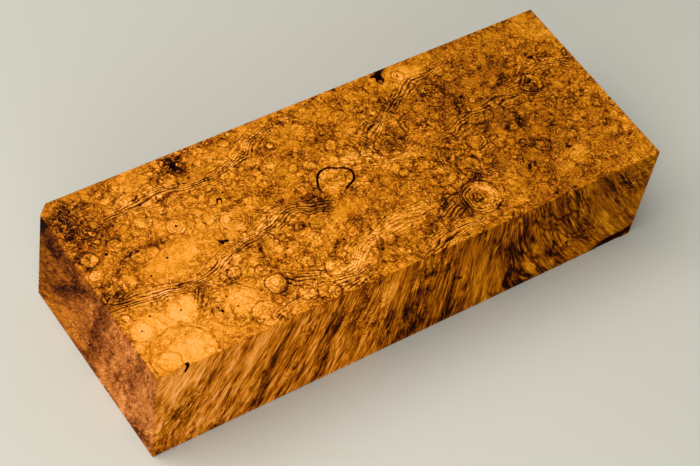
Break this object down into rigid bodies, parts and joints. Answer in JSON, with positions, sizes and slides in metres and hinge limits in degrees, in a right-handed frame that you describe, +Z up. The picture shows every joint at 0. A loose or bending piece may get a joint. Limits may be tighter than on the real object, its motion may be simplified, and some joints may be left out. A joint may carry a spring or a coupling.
{
  "type": "stabilized burl wood block",
  "caption": "Sawn rectangular block of resin-stabilized burl wood, dense with eyes and swirling figure, with a ring crack, small voids and a clipped corner; rests flat on its base.",
  "frame": {"origin": "bottom centre of the bounding box, on the plane the block rests on", "axes": "+X along the block, from the end with the clipped corner towards the other end; +Y across it, towards the clipped corner's long face; +Z up, through the thickness"},
  "size_m": [0.1308, 0.0498, 0.0292],
  "materials": {
    "burl_wood": "fine sanded, satin, resin-stabilized"
  },
  "bodies": {
    "root": {"burl_block": "burl_wood"}
  },
  "joints": []
}
